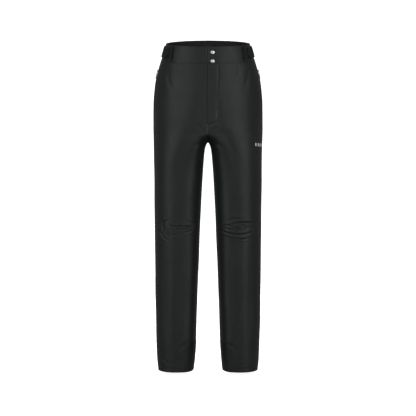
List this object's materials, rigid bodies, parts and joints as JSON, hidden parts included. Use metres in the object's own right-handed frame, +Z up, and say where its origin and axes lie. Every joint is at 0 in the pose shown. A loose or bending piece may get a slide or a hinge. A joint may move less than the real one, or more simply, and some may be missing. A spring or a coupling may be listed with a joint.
{
  "type": "ski pants",
  "caption": "Straight black ski pants with a snapped and zipped fly, zipped hand pockets, hook-and-loop waist tabs, belt loops, bending knees and inner snow cuffs.",
  "frame": {"origin": "centre of the waist opening, level with its edge at the sides", "axes": "+Z up the body, the wearer faces -Y, +X to the wearer's left"},
  "size_m": [0.346, 0.2415, 1.0594],
  "materials": {
    "shell": "matte black woven softshell with a fleece back",
    "waistband": "matte black woven softshell",
    "facing": "brushed black tricot",
    "webbing": "black ribbed webbing",
    "zip_tape": "black woven zip tape",
    "coil": "black nylon coil",
    "zip_metal": "black enamelled zinc",
    "snap": "polished silver",
    "socket": "satin steel",
    "hook": "black moulded hooks",
    "loop": "black looped pile",
    "pocket_mesh": "black knitted mesh",
    "gaiter": "black coated taffeta",
    "elastic": "black gripper elastic",
    "label": "light grey woven satin",
    "reflective": "light grey reflective transfer"
  },
  "bodies": {
    "seat": {"front_left": "shell", "front_right": "shell", "back_left": "shell", "back_right": "shell", "knee_front_left": "shell", "knee_front_right": "shell", "knee_back_left": "shell", "knee_back_right": "shell", "waistband_front_left": "waistband", "waistband_front_right": "waistband", "waistband_back_left": "waistband", "waistband_back_right": "waistband", "facing_left": "facing", "facing_right": "facing", "waistband_underlap": "waistband", "fly_chain": "coil", "fly_tapes": "zip_tape", "fly_stops": "coil", "fly_guard": "shell", "snap_studs": "socket", "pocket_tape_left": "zip_tape", "pocket_tape_right": "zip_tape", "pocket_chain_left": "coil", "pocket_chain_right": "coil", "pocket_bag_left": "pocket_mesh", "pocket_bag_right": "pocket_mesh", "loop_patch_left": "loop", "loop_patch_right": "loop", "belt_loops": "webbing", "hanger_loops": "webbing", "size_label": "label", "reflective_bars": "reflective"},
    "fly_edge": {"fly_flap": "shell", "waistband_tab": "waistband", "snap_caps": "snap", "snap_sockets": "socket"},
    "fly_zip": {"fly_slider": "zip_metal", "fly_pull": "zip_metal"},
    "pocket_zip_left": {"pocket_slider_left": "zip_metal"},
    "pocket_pull_left": {"pocket_pull_left": "zip_metal"},
    "tab_left": {"waist_tab_left": "webbing", "hook_patch_left": "hook"},
    "shin_left": {"shin_front_left": "shell", "shin_back_left": "shell", "scuff_guard_left": "shell", "gaiter_left": "gaiter", "gaiter_elastic_left": "elastic", "gaiter_hook_left": "zip_metal"},
    "pocket_zip_right": {"pocket_slider_right": "zip_metal"},
    "pocket_pull_right": {"pocket_pull_right": "zip_metal"},
    "tab_right": {"waist_tab_right": "webbing", "hook_patch_right": "hook"},
    "shin_right": {"shin_front_right": "shell", "shin_back_right": "shell", "scuff_guard_right": "shell", "gaiter_right": "gaiter", "gaiter_elastic_right": "elastic", "gaiter_hook_right": "zip_metal"}
  },
  "joints": [
    {"name": "fly_edge_swing", "type": "hinge", "parent": "seat", "child": "fly_edge", "pos_m": [0.032, -0.10036, -0.079], "axis": [0, 0.0482, 0.9988], "range_deg": [0, 150]},
    {"name": "fly_zip_run", "type": "slide", "parent": "seat", "child": "fly_zip", "axis": [0, -0.045, -0.999], "range_m": [0, 0.138]},
    {"name": "pocket_zip_left_run", "type": "hinge", "parent": "seat", "child": "pocket_zip_left", "pos_m": [-0.33208, 0.0932, -0.20826], "axis": [0.1908, 0.9816, 0], "range_deg": [0, 12.4]},
    {"name": "pocket_pull_left_swing", "type": "hinge", "parent": "pocket_zip_left", "child": "pocket_pull_left", "pos_m": [0.15999, -0.00244, -0.08673], "axis": [-0.1908, -0.9816, 0], "range_deg": [0, 150]},
    {"name": "waist_tab_left_peel", "type": "hinge", "parent": "seat", "child": "tab_left", "pos_m": [0.13252, 0.04, -0.026], "axis": [-0.2607, 0, 0.9654], "range_deg": [0, 110]},
    {"name": "knee_left_bend", "type": "hinge", "parent": "seat", "child": "shin_left", "pos_m": [0.0975, 0.004, -0.586], "axis": [1, 0, 0], "range_deg": [0, 90], "deforming": ["knee_front_left", "knee_back_left"]},
    {"name": "pocket_zip_right_run", "type": "hinge", "parent": "seat", "child": "pocket_zip_right", "pos_m": [0.33208, 0.0932, -0.20826], "axis": [0.1908, -0.9816, 0], "range_deg": [0, 12.4]},
    {"name": "pocket_pull_right_swing", "type": "hinge", "parent": "pocket_zip_right", "child": "pocket_pull_right", "pos_m": [-0.15999, -0.00244, -0.08673], "axis": [-0.1908, 0.9816, 0], "range_deg": [0, 150]},
    {"name": "waist_tab_right_peel", "type": "hinge", "parent": "seat", "child": "tab_right", "pos_m": [-0.13252, 0.04, -0.026], "axis": [-0.2607, 0, -0.9654], "range_deg": [0, 110]},
    {"name": "knee_right_bend", "type": "hinge", "parent": "seat", "child": "shin_right", "pos_m": [-0.0975, 0.004, -0.586], "axis": [1, 0, 0], "range_deg": [0, 90], "deforming": ["knee_front_right", "knee_back_right"]}
  ]
}
